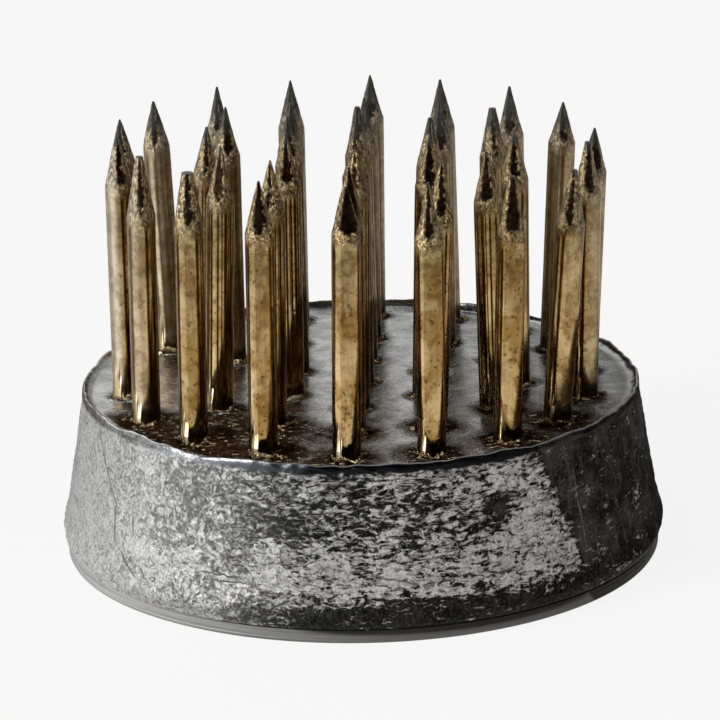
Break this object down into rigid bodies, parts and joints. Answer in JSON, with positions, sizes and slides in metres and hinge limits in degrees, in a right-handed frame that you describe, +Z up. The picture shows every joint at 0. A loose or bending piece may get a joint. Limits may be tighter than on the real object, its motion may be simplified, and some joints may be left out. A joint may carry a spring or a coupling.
{
  "type": "needle-point flower holder",
  "caption": "Heavy round cast base with a field of upright pointed brass pins that grip cut flower stems, to stand in a dish or vase.",
  "frame": {"origin": "middle of the flat underside, on the surface that the holder stands on", "axes": "+Z up, along the pins; -Y towards the front; +X to the right"},
  "size_m": [0.035, 0.035, 0.0248],
  "materials": {
    "lead": "cast lead, matt grey oxide in light and dark patches, brighter where handled",
    "brass": "drawn brass wire, tarnished and pitted, with rough ground points"
  },
  "bodies": {
    "root": {"lead_base": "lead", "pin_centre": "brass", "pin_inner_1": "brass", "pin_inner_2": "brass", "pin_inner_3": "brass", "pin_inner_4": "brass", "pin_inner_5": "brass", "pin_inner_6": "brass", "pin_middle_1": "brass", "pin_middle_2": "brass", "pin_middle_3": "brass", "pin_middle_4": "brass", "pin_middle_5": "brass", "pin_middle_6": "brass", "pin_middle_7": "brass", "pin_middle_8": "brass", "pin_middle_9": "brass", "pin_middle_10": "brass", "pin_middle_11": "brass", "pin_middle_12": "brass", "pin_outer_1": "brass", "pin_outer_2": "brass", "pin_outer_3": "brass", "pin_outer_4": "brass", "pin_outer_5": "brass", "pin_outer_6": "brass", "pin_outer_7": "brass", "pin_outer_8": "brass", "pin_outer_9": "brass", "pin_outer_10": "brass", "pin_outer_11": "brass", "pin_outer_12": "brass", "pin_outer_13": "brass", "pin_outer_14": "brass", "pin_outer_15": "brass", "pin_outer_16": "brass", "pin_outer_17": "brass", "pin_outer_18": "brass"}
  },
  "joints": []
}
